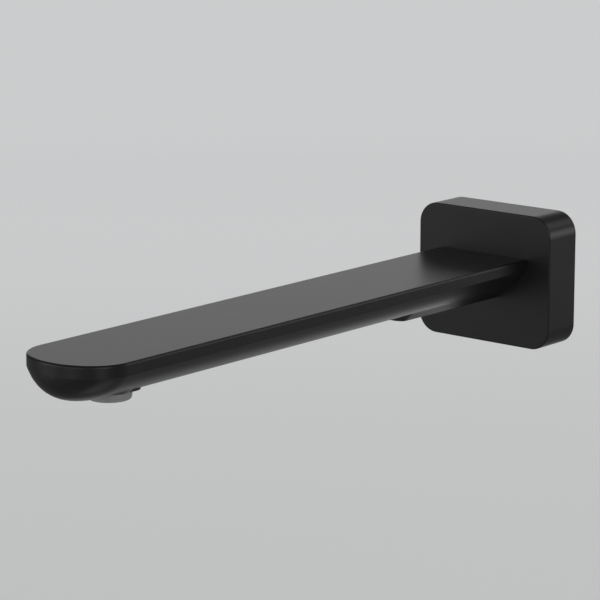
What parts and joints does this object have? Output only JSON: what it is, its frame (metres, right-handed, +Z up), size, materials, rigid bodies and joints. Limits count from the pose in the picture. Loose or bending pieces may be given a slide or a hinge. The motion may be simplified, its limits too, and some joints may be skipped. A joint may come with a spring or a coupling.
{
  "type": "wall spout",
  "caption": "Matt black wall spout: a long flat-topped bar with a round belly and rounded end, a soft-cornered cover plate at the wall and a short tapered outlet stub under the end.",
  "frame": {"origin": "middle of the cover plate's rear face, which lies on the wall, on the axis of the inlet thread", "axes": "+Z up, the spout reaches away from the wall along -Y, +X to the right for someone who stands in front of it"},
  "size_m": [0.06, 0.2588, 0.05],
  "materials": {
    "black_finish": "matt black coating on brass",
    "stub_plastic": "moulded dark grey plastic",
    "bare_brass": "turned, uncoated",
    "seal_rubber": "moulded rubber and foam",
    "outlet_plastic": "moulded grey plastic",
    "screw_steel": "plain stainless steel"
  },
  "bodies": {
    "root": {"spout_body": "black_finish", "cover_plate": "black_finish", "aerator_housing": "stub_plastic", "inlet_nipple": "bare_brass", "nipple_o_ring_front": "seal_rubber", "nipple_o_ring_rear": "seal_rubber", "aerator_washer": "seal_rubber", "wall_gasket": "seal_rubber", "aerator_honeycomb": "outlet_plastic", "aerator_mixer": "outlet_plastic", "aerator_screen": "screw_steel", "grub_screw": "screw_steel", "plate_screw_left": "screw_steel", "plate_screw_right": "screw_steel"}
  },
  "joints": []
}
